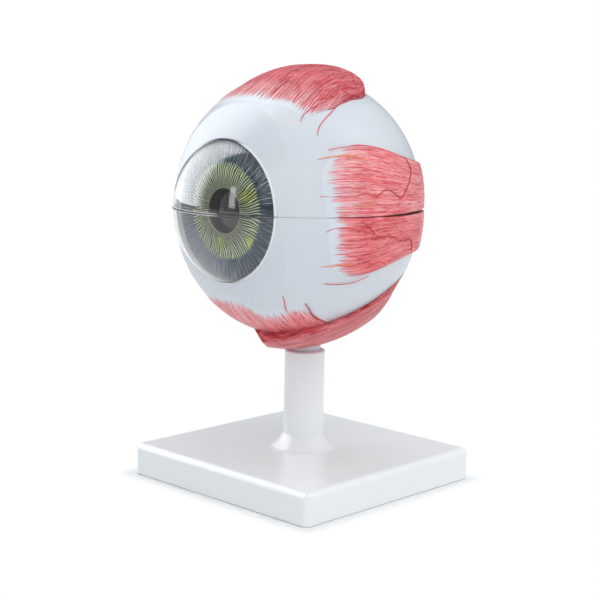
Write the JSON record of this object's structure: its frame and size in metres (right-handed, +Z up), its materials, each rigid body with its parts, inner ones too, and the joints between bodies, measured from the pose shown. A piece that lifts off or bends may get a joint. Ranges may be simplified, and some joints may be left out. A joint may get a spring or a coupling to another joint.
{
  "type": "eye anatomy model",
  "caption": "Take-apart anatomical eye on a square stand: white outer shell halves with muscles, clear cornea, inner shell halves with iris, clear lens and vitreous ball.",
  "frame": {"origin": "centre of the square stand's underside, on the post's axis", "axes": "+Z up along the post, -Y the way the eye looks, +X the lateral (temple) side of this left eye"},
  "size_m": [0.125, 0.1441, 0.2115],
  "materials": {
    "stand_plastic": "glossy",
    "steel": "plain",
    "sclera": "glossy",
    "cornea": "clear",
    "muscle": "satin, painted fibres",
    "nerve": "satin",
    "ciliary": "satin",
    "choroid": "satin, painted",
    "iris": "glossy, painted",
    "lens_clear": "clear",
    "vitreous_clear": "clear"
  },
  "bodies": {
    "stand": {"base_plate": "stand_plastic", "post": "stand_plastic", "stand_screws": "steel", "stand_washers": "steel", "lower_sclera": "sclera", "lower_cornea": "cornea", "inferior_rectus": "muscle", "inferior_oblique": "muscle", "lateral_rectus_lower": "muscle", "medial_rectus_lower": "muscle", "optic_nerve_lower": "nerve", "locating_pins": "steel"},
    "lower_choroid_half": {"lower_choroid": "choroid", "lower_iris": "iris", "lower_ciliary_body": "ciliary"},
    "vitreous": {"vitreous_body": "vitreous_clear"},
    "lens_piece": {"lens": "lens_clear"},
    "upper_choroid_half": {"upper_choroid": "choroid", "upper_iris": "iris", "upper_ciliary_body": "ciliary"},
    "upper_shell": {"upper_sclera": "sclera", "upper_cornea": "cornea", "superior_rectus": "muscle", "superior_oblique": "muscle", "lateral_rectus_upper": "muscle", "medial_rectus_upper": "muscle", "optic_nerve_upper": "nerve"}
  },
  "joints": [
    {"name": "lower_choroid_lift", "type": "slide", "parent": "stand", "child": "lower_choroid_half", "axis": [0, 0, 1], "range_m": [0, 0.07]},
    {"name": "vitreous_lift", "type": "slide", "parent": "lower_choroid_half", "child": "vitreous", "axis": [0, 0, 1], "range_m": [0, 0.066]},
    {"name": "lens_lift", "type": "slide", "parent": "vitreous", "child": "lens_piece", "axis": [0, 0, 1], "range_m": [0, 0.03]},
    {"name": "upper_choroid_lift", "type": "slide", "parent": "lens_piece", "child": "upper_choroid_half", "axis": [0, 0, 1], "range_m": [0, 0.066]},
    {"name": "upper_shell_lift", "type": "slide", "parent": "upper_choroid_half", "child": "upper_shell", "axis": [0, 0, 1], "range_m": [0, 0.072]}
  ]
}
